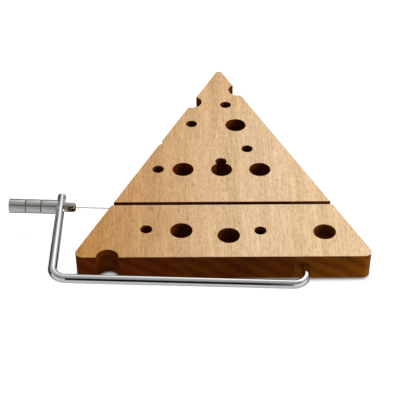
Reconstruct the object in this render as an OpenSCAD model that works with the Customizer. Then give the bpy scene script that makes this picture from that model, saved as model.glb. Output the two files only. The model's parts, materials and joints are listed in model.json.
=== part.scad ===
// Cheese wire cutter: a wedge-shaped hardwood board with drilled "cheese" holes and a saw
// groove, and a bent steel bow that carries the cutting wire and swings about a pivot bored
// into the board's front edge. A round handle on the bow's free end tightens the wire.
//
// X runs along the front edge, Y towards the point of the wedge and Z is up. The layout
// is measured from the middle of the front edge. in_frame() then moves it, so that the
// origin is the middle of the whole cutter's footprint, on the surface that it stands on.

/* [Board] */
// Length of the front edge, measured to the sharp corners
board_w = 261.2; // [240:0.1:300]
// Depth from the front edge to the sharp point
board_d = 287.8; // [270:0.1:320]
// Thickness of the board
board_t = 25.4; // [22:0.1:32]
// Radius of the two front corners
front_r = 6.5; // [2:0.5:10]
// Radius of the point
point_r = 3.5; // [1:0.5:6]
// Width of one glued stave
stave_w = 95.5; // [92:0.5:99]
// Place of the left glue joint, from the middle of the front edge
joint_x = -34.5; // [-36:0.5:-32]

/* [Holes] */
// Diameter of the large holes
large_d = 19; // [16:0.5:20]
// Diameter of the small holes
small_d = 10; // [7:0.5:10.5]

/* [Groove] */
// Distance from the front edge to the middle of the wire groove
groove_y = 70.9; // [64:0.1:76]
// Width of the wire groove
groove_w = 3.8; // [2.4:0.1:4]

/* [Bow] */
// Diameter of the bow's rod
rod_d = 7.75; // [7:0.05:8.2]
// Place of the pivot, from the middle of the front edge
pivot_x = 70.5; // [70:0.1:73]
// Distance from the pivot to the leg that carries the handle
reach = 216; // [212:0.5:230]
// Distance from the board's front face to the middle of the bow's front bar
front_gap = 21.5; // [16:0.5:30]
// Radius of the rod's two bends, on its centreline
bend_r = 12; // [8:0.5:14]
// Slope of the bow at rest, up towards the handle
bow_tilt = 2.44; // [1.5:0.01:3]
// Length of the leg beyond the handle's axis
tip_l = 15.5; // [11:0.5:18]
// Thickness left between the two flats at the handle's axis
flat_t = 4.2; // [3.6:0.1:5]
// Length of the flats, with the slopes that lead into them
flat_l = 17; // [13:0.5:20]

/* [Handle] */
// Length of the handle
handle_l = 44; // [36:1:60]
// Diameter of the handle
handle_d = 12.8; // [10:0.1:16]
// Distance from each end of the handle to the nearer turned ring
ring_inset = 15.1; // [10:0.1:17]
// Width of a turned ring
ring_w = 1.2; // [0.8:0.1:2]
// Depth of a turned ring
ring_depth = 0.4; // [0.2:0.1:0.8]

/* [Wire tensioner] */
// Diameter of the ferrule that holds the wire
ferrule_d = 8.4; // [7.5:0.1:10]
// Length of the ferrule
ferrule_l = 10.2; // [9:0.1:14]
// Rounding of the ferrule's nose
nose_r = 2; // [1:0.1:3]
// Clear length of stud between the leg and the ferrule
stud_gap = 1.3; // [0.8:0.1:2]
// Diameter of the stud
stud_d = 4; // [3:0.5:4]
// Diameter of the cutting wire
wire_d = 0.6; // [0.4:0.1:0.9]

/* [Feet] */
// Diameter of a rubber foot
foot_d = 12; // [8:0.5:13]
// Height of a rubber foot
foot_h = 2; // [1.5:0.1:4]

/* [Hidden] */
$fn = 96;

// Holes drilled right through, each [x, y] from the middle of the front edge
large_holes = [
    [-36.3, 34], [5, 27.3], [88.8, 31.5], [-35.5, 120.1], [0.3, 119.7], [35.8, 119.4], [15, 189.1],
    [-99.4, -0.1], [-27.7, 228.3], [19.2, 249.1]
];
small_holes = [
    [-67.1, 35.9], [32.8, 33.5], [-58.7, 120.5], [-0.1, 131.6], [25, 151.1], [-27.8, 191.5],
    [5.9, 223.2], [-60.2, 162.9]
];
feet = [[-104, 19], [104, 19], [-17, 208], [18, 208]];

// Wedge: its corner angle, its rounded corners and the lengths that the rounding takes
half_w = board_w / 2;
corner_a = atan2(board_d, half_w);
front_cut = front_r / tan(corner_a / 2);
point_cut = point_r * tan(corner_a);
corner_x = half_w - front_cut;
point_y = board_d - point_r / cos(corner_a);
board_top = foot_h + board_t;

// Fits
bore_clear = 0.095;
stud_clear = 0.05;
seat_gap = 0.05;
wire_clear = 0.3;
floor_clear = 0.1;
cut_over = 1;

// Pivot bore and groove
pivot_z = foot_h + board_t / 2;
bore_end_y = groove_y + 11.4;
rod_end_y = bore_end_y - 1.5;
floor_z = pivot_z - wire_d / 2 - floor_clear;
ramp_run = pivot_x + half_w + cut_over;

// Bow, with its u axis from the pivot towards the handle
flat_u = flat_t / 2;
rod_r = rod_d / 2;
rod_chamfer = 0.8;
nipple_d = 3;
nipple_l = 2.4;
pivot_nipple_u = -1;
hole_u = stud_d / 2 + 0.075;

// Ferrule: the nose wall, the open pocket that holds the wire's end and the stud's seat
nose_wall = 1.6;
stud_seat = 3;
pocket_w = nipple_d + 1.4;
ferrule_u = flat_u + stud_gap;

// Handle
handle_r = handle_d / 2;
end_chamfer = 0.5;
stud_in_handle = 14;
bore_in_handle = 20;

// Middle of the footprint, from the middle of the front edge
left_x = pivot_x - (reach + flat_u + seat_gap + handle_l) * cos(bow_tilt)
    - (handle_r - end_chamfer) * sin(bow_tilt);
right_x = corner_x + front_r;
mid_x = (left_x + right_x) / 2;
mid_y = (point_y + point_r - front_gap - rod_r) / 2;

// ---- Places ----

module in_frame() {
    translate([-mid_x, -mid_y, 0]) children();
}

// The bow's plane: X towards the board's right, Z square to the plane, origin at the pivot
module in_bow() {
    in_frame() translate([pivot_x, 0, pivot_z]) rotate([0, bow_tilt, 0]) children();
}

// The handle's axis: Z points out of the handle's free end, origin on the leg's centreline
module on_handle_axis() {
    in_bow() translate([-reach, groove_y, 0]) rotate([0, -90, 0]) children();
}

// The wire's axis: Z points from the pivot towards the handle, origin on the pivot's axis
module on_wire_axis() {
    in_bow() translate([0, groove_y, 0]) rotate([0, -90, 0]) children();
}

// ---- Board ----

module wedge_outline() {
    side_x = half_w - front_cut * cos(corner_a);
    side_y = front_cut * sin(corner_a);
    tip_x = point_cut * cos(corner_a);
    tip_y = board_d - point_cut * sin(corner_a);
    polygon([
        [-corner_x, 0], [corner_x, 0], [side_x, side_y],
        [tip_x, tip_y], [-tip_x, tip_y], [-side_x, side_y]
    ]);
    for (side = [-1, 1]) translate([side * corner_x, front_r]) circle(r = front_r);
    translate([0, point_y]) circle(r = point_r);
}

module drilled_holes() {
    depth = board_t + 2 * cut_over;
    for (p = large_holes) translate([p.x, p.y, foot_h - cut_over]) cylinder(d = large_d, h = depth);
    for (p = small_holes) translate([p.x, p.y, foot_h - cut_over]) cylinder(d = small_d, h = depth);
}

// The groove's floor follows the wire at rest, and runs level from the pivot to the right
module wire_groove() {
    ramp_z = floor_z + ramp_run * tan(bow_tilt);
    translate([0, groove_y + groove_w / 2, 0]) rotate([90, 0, 0]) linear_extrude(groove_w) polygon([
        [-half_w - cut_over, ramp_z],
        [pivot_x, floor_z],
        [half_w + cut_over, floor_z],
        [half_w + cut_over, board_top + cut_over],
        [-half_w - cut_over, board_top + cut_over]
    ]);
}

module pivot_bore() {
    translate([pivot_x, -cut_over, pivot_z]) rotate([-90, 0, 0])
        cylinder(r = rod_r + bore_clear, h = bore_end_y + cut_over);
}

// One stave: the part of the wedge between two glue joints, with all the cuts in it
module stave(from_x, to_x) {
    color("burlywood") in_frame() difference() {
        intersection() {
            translate([0, 0, foot_h]) linear_extrude(board_t) wedge_outline();
            translate([from_x, -cut_over, 0]) cube([to_x - from_x, board_d, board_top + cut_over]);
        }
        drilled_holes();
        wire_groove();
        pivot_bore();
    }
}

module stave_left() {
    stave(-half_w - cut_over, joint_x);
}

module stave_middle() {
    stave(joint_x, joint_x + stave_w);
}

module stave_right() {
    stave(joint_x + stave_w, half_w + cut_over);
}

// ---- Feet ----

module foot(place) {
    rim = 0.6;
    color("dimgray") in_frame() translate([place.x, place.y, 0]) {
        cylinder(d1 = foot_d - 2 * rim, d2 = foot_d, h = rim);
        translate([0, 0, rim]) cylinder(d = foot_d, h = foot_h - rim);
    }
}

// ---- Bow ----

module bar(from, length, turn) {
    translate(from) rotate(turn) cylinder(r = rod_r, h = length);
}

module bend(centre, from_angle) {
    translate(centre) rotate([0, 0, from_angle])
        rotate_extrude(angle = 90) translate([bend_r, 0]) circle(r = rod_r);
}

// A rod end with a turned chamfer, pointing along +Y
module rod_end(place) {
    translate(place) rotate([-90, 0, 0]) cylinder(r1 = rod_r, r2 = rod_r - rod_chamfer, h = rod_chamfer);
}

module bow_rod() {
    bar_y = -front_gap;
    bend_y = bar_y + bend_r;
    tip_y = groove_y + tip_l;
    color("silver") difference() {
        in_bow() union() {
            bar([0, bend_y, 0], rod_end_y - rod_chamfer - bend_y, [-90, 0, 0]);
            rod_end([0, rod_end_y - rod_chamfer, 0]);
            bend([-bend_r, bend_y, 0], 270);
            bar([-bend_r, bar_y, 0], reach - 2 * bend_r, [0, -90, 0]);
            bend([bend_r - reach, bend_y, 0], 180);
            bar([-reach, bend_y, 0], tip_y - rod_chamfer - bend_y, [-90, 0, 0]);
            rod_end([-reach, tip_y - rod_chamfer, 0]);
        }
        leg_flats();
        on_handle_axis() cylinder(r = hole_u, h = 2 * rod_d, center = true);
        on_wire_axis() cylinder(d = wire_d + wire_clear, h = 2 * rod_d, center = true);
        on_wire_axis() translate([0, 0, -rod_d]) cylinder(d = nipple_d + 0.1, h = rod_d + pivot_nipple_u);
    }
}

// Material taken off both sides of the leg, where the handle and the ferrule pull on it.
// The cutter leaves a slope at each end of a flat.
module leg_flats() {
    slope = rod_r - flat_u;
    for (turn = [0, 180]) in_bow() translate([-reach, groove_y, -rod_d]) rotate([0, 0, turn])
        linear_extrude(2 * rod_d) polygon([
            [flat_u, slope - flat_l / 2], [flat_u, flat_l / 2 - slope],
            [rod_r + slope, flat_l / 2 + slope], [rod_r + slope, -flat_l / 2 - slope]
        ]);
}

// ---- Wire ----

module nipple(colour) {
    edge = 0.3;
    color(colour) difference() {
        rotate_extrude() polygon([
            [0, 0], [nipple_d / 2 - edge, 0], [nipple_d / 2, edge],
            [nipple_d / 2, nipple_l - edge], [nipple_d / 2 - edge, nipple_l], [0, nipple_l]
        ]);
        translate([0, 0, -cut_over]) cylinder(d = wire_d, h = nipple_l + 2 * cut_over);
    }
}

// Where the outer nipple starts: against the inside of the ferrule's nose
ferrule_nipple_u = reach - ferrule_u - ferrule_l + nose_wall + seat_gap;

module pivot_nipple() {
    on_wire_axis() translate([0, 0, pivot_nipple_u - nipple_l]) nipple("goldenrod");
}

module ferrule_nipple() {
    on_wire_axis() translate([0, 0, ferrule_nipple_u]) nipple("goldenrod");
}

module cutting_wire() {
    start_u = pivot_nipple_u - nipple_l;
    color("gainsboro") on_wire_axis() translate([0, 0, start_u])
        cylinder(d = wire_d, h = ferrule_nipple_u + nipple_l - start_u);
}

// ---- Tensioner and handle ----

// The barrel is open at the front, so that a new wire's end drops into its pocket
module ferrule() {
    pocket_l = ferrule_l - nose_wall - stud_seat;
    slot_w = wire_d + 2 * wire_clear;
    color("slategray") on_handle_axis() translate([0, 0, -ferrule_u]) rotate([180, 0, 0]) difference() {
        rotate_extrude() union() {
            square([ferrule_d / 2, ferrule_l - nose_r]);
            square([ferrule_d / 2 - nose_r, ferrule_l]);
            translate([ferrule_d / 2 - nose_r, ferrule_l - nose_r]) circle(r = nose_r);
        }
        translate([0, 0, -cut_over]) cylinder(r = stud_d / 2 + stud_clear, h = stud_seat + cut_over);
        translate([0, 0, stud_seat]) cylinder(d = pocket_w, h = pocket_l);
        translate([-pocket_w / 2, 0, stud_seat]) cube([pocket_w, ferrule_d, pocket_l]);
        cylinder(d = slot_w, h = ferrule_l + cut_over);
        translate([-slot_w / 2, 0, stud_seat]) cube([slot_w, ferrule_d, ferrule_l]);
    }
}

module stud() {
    start_u = -ferrule_u - stud_seat;
    color("lightslategray") on_handle_axis() translate([0, 0, start_u])
        cylinder(d = stud_d, h = stud_in_handle - start_u);
}

module handle() {
    seat_u = flat_u + seat_gap;
    ring_r = handle_r - ring_depth;
    color("lightgray") on_handle_axis() translate([0, 0, seat_u]) difference() {
        rotate_extrude() polygon([
            [0, 0], [handle_r - end_chamfer, 0], [handle_r, end_chamfer],
            for (ring_u = [ring_inset, handle_l - ring_inset]) each [
                [handle_r, ring_u - ring_w / 2], [ring_r, ring_u - ring_w / 2],
                [ring_r, ring_u + ring_w / 2], [handle_r, ring_u + ring_w / 2]
            ],
            [handle_r, handle_l - end_chamfer], [handle_r - end_chamfer, handle_l], [0, handle_l]
        ]);
        translate([0, 0, -cut_over]) cylinder(r = stud_d / 2 + stud_clear, h = bore_in_handle + cut_over);
    }
}

stave_left();
stave_middle();
stave_right();
foot(feet[0]);  // foot_front_left
foot(feet[1]);  // foot_front_right
foot(feet[2]);  // foot_back_left
foot(feet[3]);  // foot_back_right
bow_rod();
cutting_wire();
pivot_nipple();
ferrule_nipple();
ferrule();
stud();
handle();
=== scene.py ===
import json
import math

import bmesh
import bpy
from mathutils import Matrix, Vector


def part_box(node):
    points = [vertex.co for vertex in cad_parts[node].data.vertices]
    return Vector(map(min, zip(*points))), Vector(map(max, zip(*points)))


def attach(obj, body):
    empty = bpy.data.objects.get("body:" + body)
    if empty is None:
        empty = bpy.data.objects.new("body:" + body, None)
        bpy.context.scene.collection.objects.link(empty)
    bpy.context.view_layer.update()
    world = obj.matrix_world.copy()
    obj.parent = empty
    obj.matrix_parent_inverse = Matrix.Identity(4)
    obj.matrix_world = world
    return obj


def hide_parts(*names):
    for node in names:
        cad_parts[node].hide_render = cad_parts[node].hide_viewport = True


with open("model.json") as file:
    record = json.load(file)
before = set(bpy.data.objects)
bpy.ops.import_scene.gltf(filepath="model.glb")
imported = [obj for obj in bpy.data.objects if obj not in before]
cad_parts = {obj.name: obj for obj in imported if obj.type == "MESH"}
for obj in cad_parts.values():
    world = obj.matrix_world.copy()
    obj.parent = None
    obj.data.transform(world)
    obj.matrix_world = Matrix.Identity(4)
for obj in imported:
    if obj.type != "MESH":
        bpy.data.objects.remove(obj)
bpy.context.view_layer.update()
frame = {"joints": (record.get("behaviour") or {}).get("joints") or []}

MM = 0.001

# ---- Sizes, in metres ----

# Board: the wedge to its sharp corners, its edges, holes and groove, and its feet
BOARD_W = 261.2 * MM
BOARD_D = 287.8 * MM
FRONT_R = 6.5 * MM
POINT_R = 3.5 * MM
EASE = 0.5 * MM
HOLE_EASE = 0.4 * MM
LARGE_D = 19 * MM
SMALL_D = 10 * MM
GROOVE_Y = 70.9 * MM
GROOVE_W = 3.8 * MM
GROOVE_EASE = 0.25 * MM
GROOVE_DROP = 0.1 * MM
FOOT_TAPER = 0.9 * MM
FOOT_SOFT = 0.4 * MM

# How far a cutter reaches past what it cuts
OVER = 1 * MM

# Hole centres in millimetres, from the middle of the front edge
LARGE_HOLES = [
    (-36.3, 34), (5, 27.3), (88.8, 31.5), (-35.5, 120.1), (0.3, 119.7), (35.8, 119.4), (15, 189.1),
    (-99.4, -0.1), (-27.7, 228.3), (19.2, 249.1),
]
SMALL_HOLES = [
    (-67.1, 35.9), (32.8, 33.5), (-58.7, 120.5), (-0.1, 131.6), (25, 151.1), (-27.8, 191.5),
    (5.9, 223.2), (-60.2, 162.9),
]

# Bow: the rod, its bends, its two flats and its cross holes, and the wire with its nipples
ROD_R = 3.875 * MM
BORE_R = 3.97 * MM
BORE_END_Y = GROOVE_Y + 11.4 * MM
BORE_END_GAP = 1.5 * MM
BEND_R = 12 * MM
TIP_L = 15.5 * MM
FLAT_U = 2.1 * MM
FLAT_L = 17 * MM
ROD_CHAMFER = 0.8 * MM
ROD_SOFT = 0.25 * MM
STUD_HOLE_R = 2.075 * MM
WIRE_R = 0.3 * MM
WIRE_HOLE_R = 0.45 * MM
NIPPLE_R = 1.5 * MM
NIPPLE_L = 2.4 * MM
NIPPLE_SOFT = 0.3 * MM
NIPPLE_HOLE_R = 1.55 * MM
NIPPLE_SEAT = 1 * MM

# Tensioner and handle
STUD_R = 2 * MM
STUD_PITCH = 0.7 * MM
THREAD_DEPTH = 0.38 * MM
STUD_IN_HANDLE = 14 * MM
STUD_CLEAR = 0.05 * MM
STUD_GAP = 1.3 * MM
FERRULE_R = 4.2 * MM
FERRULE_L = 10.2 * MM
NOSE_R = 2 * MM
NOSE_WALL = 1.6 * MM
STUD_SEAT = 3 * MM
POCKET_W = 4.4 * MM
MOUTH_R = 0.6 * MM
FERRULE_SOFT = 0.35 * MM
HANDLE_R = 6.4 * MM
HANDLE_L = 44 * MM
HANDLE_BORE_L = 20 * MM
HANDLE_CHAMFER = 0.5 * MM
HANDLE_SOFT = 0.25 * MM
RING_INSET = 15.1 * MM
RING_W = 1.2 * MM
RING_DEPTH = 0.4 * MM
SEAT_GAP = 0.05 * MM

# ---- Places, from the frame ----

STAVES = ["stave_left", "stave_middle", "stave_right"]
FEET = ["foot_front_left", "foot_front_right", "foot_back_left", "foot_back_right"]

stave_boxes = [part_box(name) for name in STAVES]
board_left = stave_boxes[0][0].x
board_right = stave_boxes[2][1].x
board_mid_x = (board_left + board_right) / 2
board_front_y = stave_boxes[0][0].y
board_bottom = stave_boxes[0][0].z
board_top = stave_boxes[0][1].z
joint_xs = [stave_boxes[1][0].x, stave_boxes[1][1].x]
groove_y = board_front_y + GROOVE_Y

joints = {joint["name"]: joint for joint in frame["joints"]}
pivot = Vector(joints["bow_pivot"]["pos_m"])
handle_at = Vector(joints["handle_turn"]["pos_m"])
outward = Vector(joints["handle_turn"]["axis"]).normalized()
reach = (handle_at - pivot).dot(outward)
front_bar_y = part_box("bow_rod")[0].y + ROD_R


def axes_matrix(origin, x_axis, y_axis, z_axis):
    turn = Matrix((x_axis, y_axis, z_axis)).transposed().to_4x4()
    return Matrix.Translation(origin) @ turn


# The bow's own axes: X from the handle towards the pivot, Y along the leg
bow_x = -outward
bow_y = Vector((0, 1, 0))
bow_z = bow_x.cross(bow_y)
bow_place = axes_matrix(pivot, bow_x, bow_y, bow_z)
handle_place = axes_matrix(handle_at, bow_z, bow_y, outward)
wire_place = axes_matrix(Vector((pivot.x, groove_y, pivot.z)), bow_z, bow_y, outward)

# ---- Mesh helpers ----


def make_object(name, bm):
    bmesh.ops.recalc_face_normals(bm, faces=bm.faces)
    mesh = bpy.data.meshes.new(name)
    bm.to_mesh(mesh)
    bm.free()
    made = bpy.data.objects.new(name, mesh)
    bpy.context.scene.collection.objects.link(made)
    return made


def loft(rings, closed_ends=True):
    """A skin over a stack of rings with equal numbers of points. A ring of one point is a pole."""
    bm = bmesh.new()
    loops = [[bm.verts.new(point) for point in ring] for ring in rings]
    for lower, upper in zip(loops, loops[1:]):
        count = max(len(lower), len(upper))
        for i in range(count):
            j = (i + 1) % count
            if len(lower) == 1:
                bm.faces.new((lower[0], upper[i], upper[j]))
            elif len(upper) == 1:
                bm.faces.new((lower[i], lower[j], upper[0]))
            else:
                bm.faces.new((lower[i], lower[j], upper[j], upper[i]))
    if closed_ends:
        for loop in (loops[0], loops[-1]):
            if len(loop) > 2:
                bm.faces.new(loop)
    return bm


def soften(points, radius, steps=4):
    """Rounds the inner corners of an open outline of (r, z) points, over less than half of each side."""
    flat = [Vector(p) for p in points]
    out = [flat[0]]
    for before, corner, after in zip(flat, flat[1:], flat[2:]):
        back = before - corner
        ahead = after - corner
        reach_back = min(radius, back.length * 0.45, ahead.length * 0.45)
        start = corner + back.normalized() * reach_back
        end = corner + ahead.normalized() * reach_back
        for i in range(steps + 1):
            t = i / steps
            out.append(start * (1 - t) ** 2 + corner * 2 * t * (1 - t) + end * t ** 2)
    out.append(flat[-1])
    return [(p.x, p.y) for p in out]


def lathe(profile, segments=96):
    """Turns an outline of (r, z) points round the Z axis."""
    angles = [math.tau * i / segments for i in range(segments)]
    rings = []
    for r, z in profile:
        if r < 1e-7:
            rings.append([Vector((0, 0, z))])
        else:
            rings.append([Vector((r * math.cos(a), r * math.sin(a), z)) for a in angles])
    return loft(rings, closed_ends=False)


def place_mesh(made, matrix):
    made.data.transform(matrix)
    return made


def carve(made, cutters, operation="DIFFERENCE"):
    """Applies one exact boolean per cutter, then drops the cutters."""
    for cutter in cutters:
        cut = made.modifiers.new(cutter.name, "BOOLEAN")
        cut.operation = operation
        cut.solver = "MANIFOLD"
        cut.object = cutter
    bpy.context.view_layer.update()
    depsgraph = bpy.context.evaluated_depsgraph_get()
    carved = bpy.data.meshes.new_from_object(made.evaluated_get(depsgraph))
    made.modifiers.clear()
    made.data = carved
    for cutter in cutters:
        bpy.data.objects.remove(cutter)
    return made


def smooth(made, angle=35):
    made.data.shade_smooth()
    made.data.set_sharp_from_angle(angle=math.radians(angle))
    return made


# ---- Camera ----

CAMERA_AT = Vector((0.01361, -0.87931, 0.71768))
CAMERA_AIM = Vector((0.01244, -0.05276, 0.02706))
CAMERA_ROLL = math.radians(-0.368)
CAMERA_LENS = 107.5


def add_camera():
    data = bpy.data.cameras.new("camera")
    data.lens = CAMERA_LENS
    data.sensor_width = 36
    data.clip_start = 0.05
    data.clip_end = 20
    camera = bpy.data.objects.new("camera", data)
    look = (CAMERA_AIM - CAMERA_AT).to_track_quat("-Z", "Y").to_matrix().to_4x4()
    camera.matrix_world = Matrix.Translation(CAMERA_AT) @ look @ Matrix.Rotation(CAMERA_ROLL, 4, "Z")
    bpy.context.scene.collection.objects.link(camera)
    bpy.context.scene.camera = camera


add_camera()

# ---- Node helpers ----


def add_node(tree, kind, inputs, **settings):
    """Adds a node, links its inputs or fills them with values, and sets its own properties."""
    made = tree.nodes.new(kind)
    for key, value in settings.items():
        setattr(made, key, value)
    for key, value in inputs.items():
        socket = made.inputs[key]
        if isinstance(value, bpy.types.NodeSocket):
            tree.links.new(value, socket)
        else:
            socket.default_value = value
    return made


def new_material(name):
    material = bpy.data.materials.new(name)
    material.use_nodes = True
    tree = material.node_tree
    tree.nodes.clear()
    shader = tree.nodes.new("ShaderNodeBsdfPrincipled")
    output = tree.nodes.new("ShaderNodeOutputMaterial")
    tree.links.new(shader.outputs[0], output.inputs[0])
    return material, tree, shader


def math_node(tree, operation, a, b=0.0):
    return add_node(tree, "ShaderNodeMath", {0: a, 1: b}, operation=operation).outputs[0]


def product(tree, a, b):
    return math_node(tree, "MULTIPLY", a, b)


def weighted_sum(tree, *terms):
    """Adds up (value, weight) pairs."""
    result = None
    for value, weight in terms:
        term = product(tree, value, weight)
        result = term if result is None else math_node(tree, "ADD", result, term)
    return result


def bump(tree, shader, height, strength, distance):
    made = add_node(tree, "ShaderNodeBump", {"Height": height, "Strength": strength, "Distance": distance})
    tree.links.new(made.outputs[0], shader.inputs["Normal"])


def ramp(tree, factor, stops):
    made = add_node(tree, "ShaderNodeValToRGB", {0: factor})
    elements = made.color_ramp.elements
    while len(elements) < len(stops):
        elements.new(0.5)
    for element, (position, colour) in zip(elements, stops):
        element.position = position
        element.color = (*colour, 1)
    return made.outputs[0]


def noise(tree, vector, detail, roughness=0.5):
    made = add_node(tree, "ShaderNodeTexNoise", {
        "Vector": vector, "Scale": 1.0, "Detail": detail, "Roughness": roughness,
    })
    return made.outputs[0]


def object_coordinates(tree):
    return tree.nodes.new("ShaderNodeTexCoord").outputs["Object"]


def scaled(tree, vector, scale, offset=(0, 0, 0)):
    made = add_node(tree, "ShaderNodeMapping", {"Vector": vector, "Scale": scale, "Location": offset})
    return made.outputs[0]


def scaled_coordinates(tree, scale, offset=(0, 0, 0)):
    return scaled(tree, object_coordinates(tree), scale, offset)


def remap(tree, value, start, end, low=0.0, high=1.0, **settings):
    """Carries start..end over to low..high, and stays level beyond both ends."""
    made = add_node(tree, "ShaderNodeMapRange", {
        "Value": value, "From Min": start, "From Max": end, "To Min": low, "To Max": high,
    }, **settings)
    return made.outputs[0]


def smooth_step(tree, value, start, end):
    """0 up to start, 1 from end on, or the other way round where end is below start."""
    return remap(tree, value, start, end, interpolation_type="SMOOTHSTEP")


def mix_colour(tree, factor, a, b, blend="MIX"):
    made = tree.nodes.new("ShaderNodeMix")
    made.data_type = "RGBA"
    made.blend_type = blend
    for socket, value in ((made.inputs[0], factor), (made.inputs[6], a), (made.inputs[7], b)):
        if isinstance(value, bpy.types.NodeSocket):
            tree.links.new(value, socket)
        elif isinstance(value, (int, float)):
            socket.default_value = value
        else:
            socket.default_value = (*value, 1)
    return made.outputs[2]


# ---- Materials ----


def long_grain(tree, seed):
    """Fine streaks, broad bands and short open pores, all running along Y."""
    shift = (seed * 0.37, seed * 0.61, seed * 0.23)
    warp = noise(tree, scaled_coordinates(tree, (14, 3, 14), shift), 2.0)
    sideways = add_node(tree, "ShaderNodeCombineXYZ", {0: product(tree, warp, GRAIN_WANDER)}).outputs[0]
    bent = add_node(tree, "ShaderNodeVectorMath", {0: object_coordinates(tree), 1: sideways},
                    operation="ADD").outputs[0]

    def stretched(scale, detail, roughness):
        return noise(tree, scaled(tree, bent, scale, shift), detail, roughness)

    streaks = stretched((900, 34, 900), 4.0, 0.65)
    flecks = stretched((1000, 260, 1000), 2.0, 0.6)
    bands = stretched((110, 5, 110), 3.0, 0.55)
    pores = stretched((1400, 150, 1400), 1.0, 0.5)
    return streaks, flecks, bands, pores


def face_material(name, seed, tone):
    """Satin hardwood with open pores, browner towards the left of the board and its point, and lighter to
    the right partly for the wood's own tone and partly as painted sheen of light from the right.
    """
    material, tree, shader = new_material(name)
    streaks, flecks, bands, pores = long_grain(tree, seed)
    grain = weighted_sum(tree, (streaks, 0.4), (bands, 0.28), (flecks, 0.32))
    place = add_node(tree, "ShaderNodeSeparateXYZ", {0: object_coordinates(tree)}).outputs
    # Lighter towards the right and less so in the point: partly the wood's own tone, partly painted sheen
    # of light falling from the right.
    pale_and_sheen = remap(tree, place["X"], board_left, board_mid_x + PALE_PAST_MID)
    point_from = board_front_y + POINT_SHARE * BOARD_D
    in_point = remap(tree, place["Y"], point_from, board_front_y + BOARD_D, 1.0, POINT_PALER)
    pale_and_sheen = product(tree, pale_and_sheen, in_point)
    brown = ramp(tree, grain, [(GRAIN_LOW, LEFT_DARK), (GRAIN_HIGH, LEFT_LIGHT)])
    pale = ramp(tree, grain, [(GRAIN_LOW, RIGHT_DARK), (GRAIN_HIGH, RIGHT_LIGHT)])
    colour = mix_colour(tree, pale_and_sheen, brown, pale)
    colour = mix_colour(tree, 1.0, colour, tone, "MULTIPLY")
    pore_mask = ramp(tree, pores, [(0.57, (0.0,) * 3), (0.74, (1.0,) * 3)])
    colour = mix_colour(tree, pore_mask, colour, mix_colour(tree, 1.0, colour, PORE_TONE, "MULTIPLY"))
    tree.links.new(colour, shader.inputs["Base Color"])
    shine = ramp(tree, streaks, [(0.3, (FACE_ROUGH + 0.08,) * 3), (0.7, (FACE_ROUGH - 0.06,) * 3)])
    tree.links.new(shine, shader.inputs["Roughness"])
    shader.inputs["Specular IOR Level"].default_value = FACE_SPECULAR
    height = math_node(tree, "SUBTRACT", grain, product(tree, pore_mask, 0.5))
    bump(tree, shader, height, 0.25, 0.2 * MM)
    return material


def edge_material(name, seed, tone):
    """End grain: mottled, with faint slanting rings, and very dark, partly its own colour and partly
    painted shade on walls turned away from the light.
    """
    material, tree, shader = new_material(name)
    shift = (seed * 0.29, seed * 0.53, seed * 0.31)
    wander = noise(tree, scaled_coordinates(tree, (16, 6, 30), shift), 2.0)
    rings = add_node(tree, "ShaderNodeTexWave", {
        "Vector": scaled_coordinates(tree, (1, 0, 1.7), (seed * 0.013, 0, 0)),
        "Scale": 26.0, "Distortion": 2.2, "Detail": 2.0, "Detail Scale": 1.2,
    }, bands_direction="DIAGONAL").outputs[1]
    mottle = noise(tree, scaled_coordinates(tree, (420, 420, 900), shift), 3.0, 0.6)
    grain = weighted_sum(tree, (rings, 0.14), (mottle, 0.4), (wander, 0.46))
    # These dark stops hold painted shade as well as the end grain's own colour.
    colour = ramp(tree, grain, [(0.32, EDGE_DARK), (0.66, EDGE_LIGHT)])
    colour = mix_colour(tree, 1.0, colour, tone, "MULTIPLY")
    tree.links.new(colour, shader.inputs["Base Color"])
    dull = ramp(tree, mottle, [(0.3, (0.6,) * 3), (0.7, (0.5,) * 3)])
    tree.links.new(dull, shader.inputs["Roughness"])
    shader.inputs["Specular IOR Level"].default_value = EDGE_SPECULAR
    bump(tree, shader, mottle, 0.2, 0.15 * MM)
    return material


def metal_material(name, colour, roughness, spread, scale):
    """Metal whose polish varies by spread over the surface, in smears of 1 / scale metres."""
    material, tree, shader = new_material(name)
    shader.inputs["Metallic"].default_value = 1.0
    smear = noise(tree, scaled_coordinates(tree, (scale,) * 3), 3.0, 0.55)
    polish = ramp(tree, smear, [(0.35, (roughness - spread,) * 3), (0.68, (roughness + spread,) * 3)])
    tree.links.new(polish, shader.inputs["Roughness"])
    tint = ramp(tree, smear, [(0.3, colour), (0.7, tuple(0.95 * c for c in colour))])
    tree.links.new(tint, shader.inputs["Base Color"])
    bump(tree, shader, smear, 0.05, 0.05 * MM)
    return material


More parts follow.
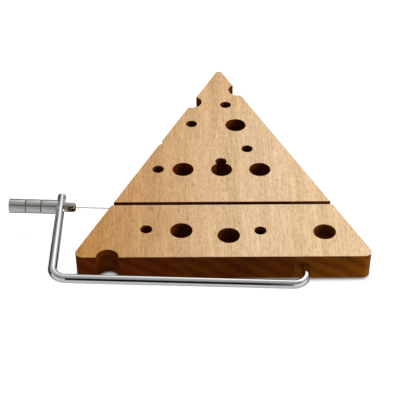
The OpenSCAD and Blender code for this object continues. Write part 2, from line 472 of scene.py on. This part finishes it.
def turned_material(name, colour, roughness):
    """Satin metal brushed around the handle's axis, with painted shade in the two turned rings."""
    material, tree, shader = new_material(name)
    shader.inputs["Metallic"].default_value = 1.0
    along = add_node(tree, "ShaderNodeVectorMath", {0: object_coordinates(tree), 1: tuple(outward)},
                     operation="DOT_PRODUCT").outputs["Value"]
    cuts = add_node(tree, "ShaderNodeTexNoise", {"W": product(tree, along, TOOL_MARKS), "Scale": 1.0},
                    noise_dimensions="1D").outputs[0]
    smear = noise(tree, scaled_coordinates(tree, (120, 120, 120)), 3.0)
    polish = math_node(tree, "ADD", product(tree, smear, 0.06), roughness - 0.03)
    tree.links.new(polish, shader.inputs["Roughness"])
    shader.inputs["Anisotropic"].default_value = 1.0
    axis = add_node(tree, "ShaderNodeVectorTransform", {0: tuple(outward)}, vector_type="VECTOR",
                    convert_from="OBJECT", convert_to="WORLD").outputs[0]
    tree.links.new(axis, shader.inputs["Tangent"])
    tint = ramp(tree, cuts, [(0.3, tuple(0.9 * c for c in colour)), (0.7, colour)])
    inner_end = handle_at.dot(outward) + FLAT_U + SEAT_GAP
    for ring_at in (RING_INSET, HANDLE_L - RING_INSET):
        # Painted shade darkens the metal in each turned ring.
        offset = math_node(tree, "ABSOLUTE", math_node(tree, "SUBTRACT", along, inner_end + ring_at))
        ring_shade = remap(tree, offset, 0.5 * RING_W, 0.35 * RING_W)
        tint = mix_colour(tree, ring_shade, tint, RING_SHADE)
    tree.links.new(tint, shader.inputs["Base Color"])
    bump(tree, shader, cuts, 0.2, 0.04 * MM)
    return material


def rubber_material(name):
    material, tree, shader = new_material(name)
    grain = noise(tree, scaled_coordinates(tree, (1800, 1800, 1800)), 3.0)
    colour = ramp(tree, grain, [(0.35, (0.022, 0.022, 0.023)), (0.7, (0.045, 0.045, 0.046))])
    tree.links.new(colour, shader.inputs["Base Color"])
    dull = ramp(tree, grain, [(0.3, (0.7,) * 3), (0.7, (0.85,) * 3)])
    tree.links.new(dull, shader.inputs["Roughness"])
    bump(tree, shader, grain, 0.3, 0.1 * MM)
    return material


# Face wood: its grain from dark to light, browner at the left of the board and in its point, and lighter to
# the right partly as painted sheen of light from the right
GRAIN_LOW = 0.36
GRAIN_HIGH = 0.61
GRAIN_WANDER = 0.012
PALE_PAST_MID = 30 * MM
POINT_SHARE = 0.6
POINT_PALER = 0.6
LEFT_LIGHT = (0.44, 0.215, 0.052)
LEFT_DARK = (0.25, 0.108, 0.019)
RIGHT_LIGHT = (0.62, 0.45, 0.28)
RIGHT_DARK = (0.38, 0.24, 0.12)
PORE_TONE = (0.66, 0.56, 0.48)
FACE_ROUGH = 0.5
FACE_SPECULAR = 0.25

# End grain, on the walls and in the holes: very dark, partly the end grain's own colour and partly painted
# shade
EDGE_LIGHT = (0.1, 0.027, 0.0012)
EDGE_DARK = (0.04, 0.008, 0.0005)
EDGE_SPECULAR = 0.01

# How each stave's faces and edges differ, as factors of their colour; the right stave's much lighter end
# grain is partly painted light from the right
STAVE_TONES = [(0.98, 0.97, 0.95), (1.0, 1.0, 1.0), (1.03, 1.02, 1.0)]
EDGE_TONES = [(1.05, 0.75, 0.3), (1.0, 0.85, 0.4), (1.6, 1.7, 2.0)]

# Handle: painted shade in its rings, and tool marks to the metre
RING_SHADE = (0.2, 0.2, 0.19)
TOOL_MARKS = 9000

face_stock = bpy.data.materials.new("face_stock")
edge_stock = bpy.data.materials.new("edge_stock")
rod_metal = metal_material("chrome", (0.68, 0.69, 0.69), roughness=0.06, spread=0.02, scale=90)
wire_metal = metal_material("drawn_steel", (0.07, 0.07, 0.067), roughness=0.25, spread=0.05, scale=400)
brass_metal = metal_material("brass", (0.76, 0.56, 0.24), roughness=0.28, spread=0.06, scale=500)
# The ferrule's metal is darker and browner than the rod's chrome, partly as painted reflection of the brown
# wood and the shade around it.
ferrule_metal = metal_material("dark_chrome", (0.4, 0.36, 0.31), roughness=0.1, spread=0.03, scale=160)
stud_metal = metal_material("thread_steel", (0.5, 0.5, 0.49), roughness=0.3, spread=0.06, scale=600)
handle_metal = turned_material("satin_metal", (0.56, 0.58, 0.55), roughness=0.22)
foot_rubber = rubber_material("foot_rubber")

# ---- Board ----

half_w = BOARD_W / 2
corner_angle = math.atan2(BOARD_D, half_w)
corner_x = half_w - FRONT_R / math.tan(corner_angle / 2)
point_y = BOARD_D - POINT_R / math.cos(corner_angle)


def arc(centre, radius, start, end, steps=16):
    angles = [start + (end - start) * i / steps for i in range(steps + 1)]
    return [Vector((centre[0] + radius * math.cos(a), centre[1] + radius * math.sin(a))) for a in angles]


def wedge_ring(z, inset):
    """The wedge's outline at one height, moved in by inset, as three arcs joined by straight sides."""
    side = math.pi / 2 - corner_angle
    right = arc((corner_x, FRONT_R), FRONT_R - inset, -math.pi / 2, side)
    tip = arc((0, point_y), POINT_R - inset, side, math.pi - side)
    left = arc((-corner_x, FRONT_R), FRONT_R - inset, math.pi - side, math.pi * 1.5)
    return [Vector((board_mid_x + p.x, board_front_y + p.y, z)) for p in right + tip + left]


def quarter_round(radius, steps=4):
    """Points round an eased corner, as their distances from its two sides."""
    turns = [math.pi / 2 * i / steps for i in range(steps + 1)]
    return [(radius * (1 - math.sin(a)), radius * (1 - math.cos(a))) for a in turns]


def wedge_blank():
    """The whole panel before drilling: its flats and eased edges in slot 0, its walls in slot 1."""
    rounding = quarter_round(EASE)
    lower = [wedge_ring(board_bottom + rise, inset) for rise, inset in reversed(rounding)]
    upper = [wedge_ring(board_top - rise, inset) for rise, inset in rounding]
    made = make_object("wedge", loft(lower + upper))
    made.data.materials.append(face_stock)
    made.data.materials.append(edge_stock)
    for face in made.data.polygons:
        face.material_index = 0 if abs(face.normal.z) > 0.3 else 1
    return made


def hole_cutter(name, x, y, diameter, segments):
    """A drill for the board, whose straight wall opens out in a quarter round at both faces."""
    radius = diameter / 2
    rim = radius + HOLE_EASE
    rounding = quarter_round(HOLE_EASE)
    profile = [(0, board_bottom - OVER), (rim, board_bottom - OVER)]
    profile += [(radius + out, board_bottom + rise) for out, rise in rounding]
    profile += [(radius + out, board_top - rise) for out, rise in reversed(rounding)]
    profile += [(rim, board_top + OVER), (0, board_top + OVER)]
    centre = (board_mid_x + x * MM, board_front_y + y * MM, 0)
    return place_mesh(make_object(name, lathe(profile, segments)), Matrix.Translation(centre))


def groove_cutter():
    """A slot whose floor follows the wire at rest, then runs level past the pivot."""
    slope = (handle_at.z - pivot.z) / (pivot.x - handle_at.x)
    floor = pivot.z - WIRE_R - GROOVE_DROP
    half = GROOVE_W / 2
    lip = half + GROOVE_EASE
    lip_z = board_top - GROOVE_EASE
    rings = []
    for x in (board_left - 2 * OVER, pivot.x, board_right + 2 * OVER):
        z = floor + max(0, pivot.x - x) * slope
        section = [
            (-half, z), (half, z), (half, lip_z), (lip, board_top),
            (lip, board_top + OVER), (-lip, board_top + OVER), (-lip, board_top), (-half, lip_z),
        ]
        rings.append([Vector((x, groove_y + y, z)) for y, z in section])
    return make_object("groove_cutter", loft(rings))


def bore_cutter():
    rim = BORE_R + HOLE_EASE
    profile = [(0, -OVER), (rim, -OVER), (rim, 0)]
    profile += [(BORE_R, HOLE_EASE), (BORE_R, BORE_END_Y), (0, BORE_END_Y)]
    start = Vector((pivot.x, board_front_y, pivot.z))
    along_y = Matrix.Translation(start) @ Matrix.Rotation(-math.pi / 2, 4, "X")
    return place_mesh(make_object("bore_cutter", lathe(profile, 64)), along_y)


def slab(name, from_x, to_x):
    """A box that keeps one stave of the panel."""
    bm = bmesh.new()
    bmesh.ops.create_cube(bm, size=1)
    size = Vector((to_x - from_x, 2 * BOARD_D, 4 * (board_top - board_bottom)))
    centre = Vector(((from_x + to_x) / 2, board_front_y + BOARD_D / 2, board_top))
    place = Matrix.Translation(centre) @ Matrix.Diagonal(size).to_4x4()
    bmesh.ops.transform(bm, matrix=place, verts=bm.verts)
    return make_object(name, bm)


def make_panel():
    cutters = [hole_cutter(f"large_{i}", x, y, LARGE_D, 96) for i, (x, y) in enumerate(LARGE_HOLES)]
    cutters += [hole_cutter(f"small_{i}", x, y, SMALL_D, 64) for i, (x, y) in enumerate(SMALL_HOLES)]
    cutters += [groove_cutter(), bore_cutter()]
    for cutter in cutters:
        cutter.data.materials.append(edge_stock)
    return carve(wedge_blank(), cutters)


def make_staves():
    panel = make_panel()
    edges = [board_left - OVER, *joint_xs, board_right + OVER]
    for i, name in enumerate(STAVES):
        stave = bpy.data.objects.new(name + "_wood", panel.data.copy())
        bpy.context.scene.collection.objects.link(stave)
        cutter = slab("slab", edges[i], edges[i + 1])
        cutter.data.materials.append(edge_stock)
        carve(stave, [cutter], "INTERSECT")
        face_wood = face_material(f"face_{i}", i + 1, STAVE_TONES[i])
        edge_wood = edge_material(f"edge_{i}", i + 1, EDGE_TONES[i])
        for k, stock in enumerate(stave.data.materials):
            stave.data.materials[k] = face_wood if stock == face_stock else edge_wood
        smooth(stave)
        weighted = stave.modifiers.new("flat_faces_stay_flat", "WEIGHTED_NORMAL")
        weighted.keep_sharp = True
        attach(stave, "board")
        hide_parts(name)
    bpy.data.objects.remove(panel)


def make_feet():
    for name in FEET:
        low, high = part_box(name)
        radius = (high.x - low.x) / 2
        height = high.z - low.z
        profile = [(0, 0), (radius - FOOT_TAPER, 0), (radius, FOOT_TAPER), (radius, height), (0, height)]
        foot = make_object(name + "_pad", lathe(soften(profile, FOOT_SOFT), 64))
        place_mesh(foot, Matrix.Translation(((low.x + high.x) / 2, (low.y + high.y) / 2, low.z)))
        foot.data.materials.append(foot_rubber)
        smooth(foot)
        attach(foot, "board")
        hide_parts(name)


# ---- Bow ----


def rod_path(steps=32):
    """Stations along the rod's centreline: (x, y, direction, radius), in the bow's axes."""
    end_y = BORE_END_Y - BORE_END_GAP + board_front_y - pivot.y
    tip_y = groove_y - pivot.y + TIP_L
    bend_y = front_bar_y - pivot.y + BEND_R
    right_x = -BEND_R
    left_x = BEND_R - reach
    end_shape = [
        (0, ROD_R - ROD_CHAMFER - ROD_SOFT), (ROD_SOFT * 0.3, ROD_R - ROD_CHAMFER),
        (ROD_CHAMFER, ROD_R - 0.2 * ROD_SOFT), (ROD_CHAMFER + ROD_SOFT, ROD_R),
    ]
    turns = [math.pi / 2 * i / steps for i in range(steps + 1)]
    stations = [(0, end_y - rise, -math.pi / 2, r) for rise, r in end_shape]
    stations += [
        (right_x + BEND_R * math.cos(a), bend_y - BEND_R * math.sin(a), -math.pi / 2 - a, ROD_R)
        for a in turns
    ]
    stations += [
        (left_x - BEND_R * math.sin(a), bend_y - BEND_R * math.cos(a), -math.pi - a, ROD_R)
        for a in turns
    ]
    stations += [(-reach, tip_y - rise, -math.pi * 1.5, r) for rise, r in reversed(end_shape)]
    return stations


def rod_blank(segments=72):
    up = Vector((0, 0, 1))
    angles = [math.tau * i / segments for i in range(segments)]
    rings = []
    for x, y, heading, radius in rod_path():
        centre = Vector((x, y, 0))
        side = Vector((-math.sin(heading), math.cos(heading), 0))
        rings.append([centre + radius * (math.cos(a) * side + math.sin(a) * up) for a in angles])
    return make_object("bow_bent_rod", loft(rings))


def flat_cutter(name, sign):
    """Takes one side of the leg down to a flat with a slope at each end."""
    slope = ROD_R - FLAT_U
    outline = [
        (FLAT_U, slope - FLAT_L / 2), (FLAT_U, FLAT_L / 2 - slope),
        (ROD_R + slope, FLAT_L / 2 + slope), (ROD_R + slope, -FLAT_L / 2 - slope),
    ]
    leg_y = groove_y - pivot.y
    rings = [
        [Vector((sign * x - reach, y + leg_y, z)) for x, y in outline] for z in (-2 * ROD_R, 2 * ROD_R)
    ]
    return make_object(name, loft(rings))


def cylinder_cutter(name, radius, low, high, matrix):
    profile = [(0, low), (radius, low), (radius, high), (0, high)]
    return place_mesh(make_object(name, lathe(profile, 48)), matrix)


def make_rod():
    rod = rod_blank()
    to_bow = bow_place.inverted()
    cutters = [
        flat_cutter("flat_in", 1), flat_cutter("flat_out", -1),
        cylinder_cutter("stud_hole", STUD_HOLE_R, -2 * ROD_R, 2 * ROD_R, to_bow @ handle_place),
        cylinder_cutter("wire_hole", WIRE_HOLE_R, -2 * ROD_R, 2 * ROD_R, to_bow @ wire_place),
        cylinder_cutter("nipple_hole", NIPPLE_HOLE_R, -2 * ROD_R, -NIPPLE_SEAT, to_bow @ wire_place),
    ]
    carve(rod, cutters)
    place_mesh(rod, bow_place)
    rod.data.materials.clear()
    rod.data.materials.append(rod_metal)
    smooth(rod)
    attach(rod, "bow")
    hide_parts("bow_rod")


def add_turned(name, profile, matrix, material, body, node, segments=96):
    """A turned piece that stands for one CAD node."""
    made = place_mesh(make_object(name, lathe(profile, segments)), matrix)
    made.data.materials.append(material)
    smooth(made)
    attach(made, body)
    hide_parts(node)


nipple_far = reach - FLAT_U - STUD_GAP - FERRULE_L + NOSE_WALL + SEAT_GAP
nipple_near = -NIPPLE_SEAT - NIPPLE_L


def make_wire():
    wire_end = nipple_far + NIPPLE_L
    profile = [(0, nipple_near), (WIRE_R, nipple_near), (WIRE_R, wire_end), (0, wire_end)]
    add_turned("wire_strand", profile, wire_place, wire_metal, "bow", "cutting_wire", 24)
    profile = soften([(0, 0), (NIPPLE_R, 0), (NIPPLE_R, NIPPLE_L), (0, NIPPLE_L)], NIPPLE_SOFT)
    for name, at in (("pivot_nipple", nipple_near), ("ferrule_nipple", nipple_far)):
        place = wire_place @ Matrix.Translation((0, 0, at))
        add_turned(name + "_stop", profile, place, brass_metal, "bow", name, 48)


# ---- Tensioner and handle ----


def front_slot(name, width, low, high):
    """A cutter that opens the ferrule towards the front, in the ferrule's own axes."""
    half = width / 2
    outline = [(-half, 0), (half, 0), (half, 2 * FERRULE_R), (-half, 2 * FERRULE_R)]
    rings = [[Vector((x, y, z)) for x, y in outline] for z in (low, high)]
    return make_object(name, loft(rings))


def make_ferrule():
    """The round-nosed barrel, bored for the stud and open at the front over the wire's end."""
    nose = [(FERRULE_R - inset, FERRULE_L - drop) for drop, inset in quarter_round(NOSE_R, 12)]
    profile = soften([(0, 0), (FERRULE_R, 0), nose[0]], FERRULE_SOFT) + nose[1:] + [(0, FERRULE_L)]
    ferrule = make_object("ferrule_barrel", lathe(profile, 96))
    pocket_end = FERRULE_L - NOSE_WALL
    still = Matrix.Identity(4)
    carve(ferrule, [
        cylinder_cutter("seat", STUD_R + STUD_CLEAR, -OVER, STUD_SEAT, still),
        cylinder_cutter("pocket", POCKET_W / 2, STUD_SEAT, pocket_end, still),
        front_slot("pocket_slot", POCKET_W, STUD_SEAT, pocket_end),
        cylinder_cutter("mouth", MOUTH_R, STUD_SEAT + OVER, FERRULE_L + OVER, still),
        front_slot("mouth_slot", 2 * MOUTH_R, STUD_SEAT + OVER, FERRULE_L + OVER),
    ])
    back_face = handle_place @ Matrix.Translation((0, 0, -FLAT_U - STUD_GAP))
    place_mesh(ferrule, back_face @ Matrix.Rotation(math.pi, 4, "X"))
    ferrule.data.materials.clear()
    ferrule.data.materials.append(ferrule_metal)
    smooth(ferrule)
    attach(ferrule, "tensioner")
    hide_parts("ferrule")


def make_stud(around=32, rows_per_pitch=8):
    """A stud with a true helical thread that fades out at both ends."""
    start = -FLAT_U - STUD_GAP - STUD_SEAT
    length = STUD_IN_HANDLE - start
    rows = int(length / STUD_PITCH * rows_per_pitch)
    rings = [[Vector((0, 0, start))]]
    for j in range(rows + 1):
        z = length * j / rows
        fade = min(1, z / STUD_PITCH, (length - z) / STUD_PITCH)
        ring = []
        for i in range(around):
            a = math.tau * i / around
            phase = (z / STUD_PITCH - i / around) % 1
            groove = THREAD_DEPTH * (1 - abs(2 * phase - 1))
            r = STUD_R - (groove if fade >= 1 else max(groove, THREAD_DEPTH * (1 - fade)))
            ring.append(Vector((r * math.cos(a), r * math.sin(a), start + z)))
        rings.append(ring)
    rings.append([Vector((0, 0, start + length))])
    stud = place_mesh(make_object("stud_thread", loft(rings, closed_ends=False)), handle_place)
    stud.data.materials.append(stud_metal)
    smooth(stud, 60)
    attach(stud, "tensioner")
    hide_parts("stud")


def make_handle():
    bore_r = STUD_R + STUD_CLEAR
    end_r = HANDLE_R - HANDLE_CHAMFER
    ring_r = HANDLE_R - RING_DEPTH
    outline = [(0, HANDLE_BORE_L), (bore_r, HANDLE_BORE_L), (bore_r, 0)]
    outline += [(end_r, 0), (HANDLE_R, HANDLE_CHAMFER)]
    for ring_at in (RING_INSET, HANDLE_L - RING_INSET):
        near = ring_at - RING_W / 2
        far = ring_at + RING_W / 2
        outline += [(HANDLE_R, near), (ring_r, near), (ring_r, far), (HANDLE_R, far)]
    outline += [(HANDLE_R, HANDLE_L - HANDLE_CHAMFER), (end_r, HANDLE_L), (0, HANDLE_L)]
    place = handle_place @ Matrix.Translation((0, 0, FLAT_U + SEAT_GAP))
    profile = soften(outline, HANDLE_SOFT)
    add_turned("handle_grip", profile, place, handle_metal, "handle", "handle", 128)


make_staves()
make_feet()
make_rod()
make_wire()
make_ferrule()
make_stud()
make_handle()

# ---- Stage and light ----

FLOOR_GLOW = 0.8
FLOOR_TONES = [(0.26,) * 3, (0.29,) * 3]
GAP_SHADE = 4 * MM

# Studio tones, as the metal sees them
WALL_TONES = [(0.1,) * 3, (0.3,) * 3, (0.42,) * 3]
CEILING_TONE = (0.55,) * 3
SOFTBOX_TONE = (1.55,) * 3
LEFT_SCREEN = (0.74, 0.75, 0.73)
RIGHT_SCREEN = (1.05, 1.05, 1.04)
GAP_TONE = (0.006,) * 3
HIGH_TONES = [(0.12,) * 3, (0.26,) * 3, (0.5,) * 3]
FLOOR_BEHIND = [(0.05,) * 3, (0.36,) * 3]
FLOOR_AHEAD = (0.72,) * 3

# Lamps: place and size in metres, and watts. Both point at the origin, under the object's middle.
LAMPS = {
    "key": ((0.4, 0.7, 1.4), (1.1, 0.7), 14.3),
    "side": ((1.3, -0.15, 0.8), (0.7, 0.7), 23),
}


def add_floor():
    """A pale sweep that glows evenly, and whose glow fades to a painted shadow only in the narrow gap under
    the board.
    """
    bm = bmesh.new()
    bmesh.ops.create_grid(bm, x_segments=1, y_segments=1, size=3)
    floor = make_object("floor", bm)
    material, tree, shader = new_material("pale_floor")
    mottle = noise(tree, scaled_coordinates(tree, (3, 3, 3)), 2.0)
    tone = ramp(tree, mottle, [(0.3, FLOOR_TONES[0]), (0.7, FLOOR_TONES[1])])
    tree.links.new(tone, shader.inputs["Base Color"])
    shader.inputs["Roughness"].default_value = 0.7
    shader.inputs["Emission Color"].default_value = (1, 1, 1, 1)
    # Painted shadow: the glow fades where the board hangs close over the floor.
    open_sky = add_node(tree, "ShaderNodeAmbientOcclusion", {"Distance": GAP_SHADE}, samples=8)
    glow = remap(tree, open_sky.outputs["AO"], 0.3, 1.0, 0.0, FLOOR_GLOW)
    tree.links.new(glow, shader.inputs["Emission Strength"])
    floor.data.materials.append(material)
    floor.visible_glossy = False


def add_lamp(name, at, size, power):
    """A soft lamp that lights the object but doesn't show in its reflections."""
    data = bpy.data.lights.new(name, "AREA")
    data.shape = "RECTANGLE"
    data.size, data.size_y = size
    data.energy = power
    lamp = bpy.data.objects.new(name, data)
    lamp.visible_glossy = False
    at = Vector(at)
    lamp.matrix_world = Matrix.Translation(at) @ (-at).to_track_quat("-Z", "Y").to_matrix().to_4x4()
    bpy.context.scene.collection.objects.link(lamp)


def add_world():
    """A studio room: a softbox high behind, pale screens in front with a dark gap between them."""
    world = bpy.data.worlds.new("studio")
    bpy.context.scene.world = world
    world.use_nodes = True
    tree = world.node_tree
    tree.nodes.clear()
    direction = tree.nodes.new("ShaderNodeTexCoord").outputs["Generated"]
    x, y, z = add_node(tree, "ShaderNodeSeparateXYZ", {0: direction}).outputs
    # A direction has X to the right, Y to the back and Z up.
    # Behind: a wall that is darker to the left, then the softbox and the ceiling over it
    wall = ramp(tree, smooth_step(tree, x, -0.6, 0.5), [(k / 2, tone) for k, tone in enumerate(WALL_TONES)])
    rise = ramp(tree, z, [(0.3, (0.0,) * 3), (0.62, (1.0,) * 3)])
    behind = mix_colour(tree, rise, wall, CEILING_TONE)
    box_x = product(tree, smooth_step(tree, x, -0.3, 0.16), smooth_step(tree, x, 0.72, 0.42))
    box_z = product(tree, smooth_step(tree, z, 0.3, 0.52), smooth_step(tree, z, 0.95, 0.8))
    behind = mix_colour(tree, product(tree, box_x, box_z), behind, SOFTBOX_TONE)
    # In front: dark high up, pale screens low down to both sides, and a narrow dark gap between
    gap = product(tree, smooth_step(tree, x, -0.12, -0.09), smooth_step(tree, x, 0.16, 0.12))
    screens = ramp(tree, smooth_step(tree, x, 0.1, 0.6), [(0.0, LEFT_SCREEN), (1.0, RIGHT_SCREEN)])
    low = mix_colour(tree, gap, screens, GAP_TONE)
    high = ramp(tree, z, [(0.6 + 0.2 * k, tone) for k, tone in enumerate(HIGH_TONES)])
    ahead = mix_colour(tree, smooth_step(tree, z, 0.45, 0.62), low, high)
    gap_top = product(tree, gap, smooth_step(tree, z, 0.82, 0.7))
    ahead = mix_colour(tree, gap_top, ahead, GAP_TONE)
    sky = mix_colour(tree, smooth_step(tree, y, 0.12, -0.12), behind, ahead)
    # Below the horizon: the floor, darker behind and to the left
    floor_back = ramp(tree, smooth_step(tree, x, -0.5, 0.4), list(enumerate(FLOOR_BEHIND)))
    floor_tone = mix_colour(tree, smooth_step(tree, y, 0.25, -0.25), floor_back, FLOOR_AHEAD)
    sky = mix_colour(tree, smooth_step(tree, z, 0.0, -0.1), sky, floor_tone)
    background = add_node(tree, "ShaderNodeBackground", {0: sky, 1: 1.0})
    output = tree.nodes.new("ShaderNodeOutputWorld")
    tree.links.new(background.outputs[0], output.inputs[0])


add_floor()
add_world()
for lamp_name, (lamp_at, lamp_size, lamp_power) in LAMPS.items():
    add_lamp(lamp_name, lamp_at, lamp_size, lamp_power)
bpy.context.scene.view_settings.view_transform = "Standard"
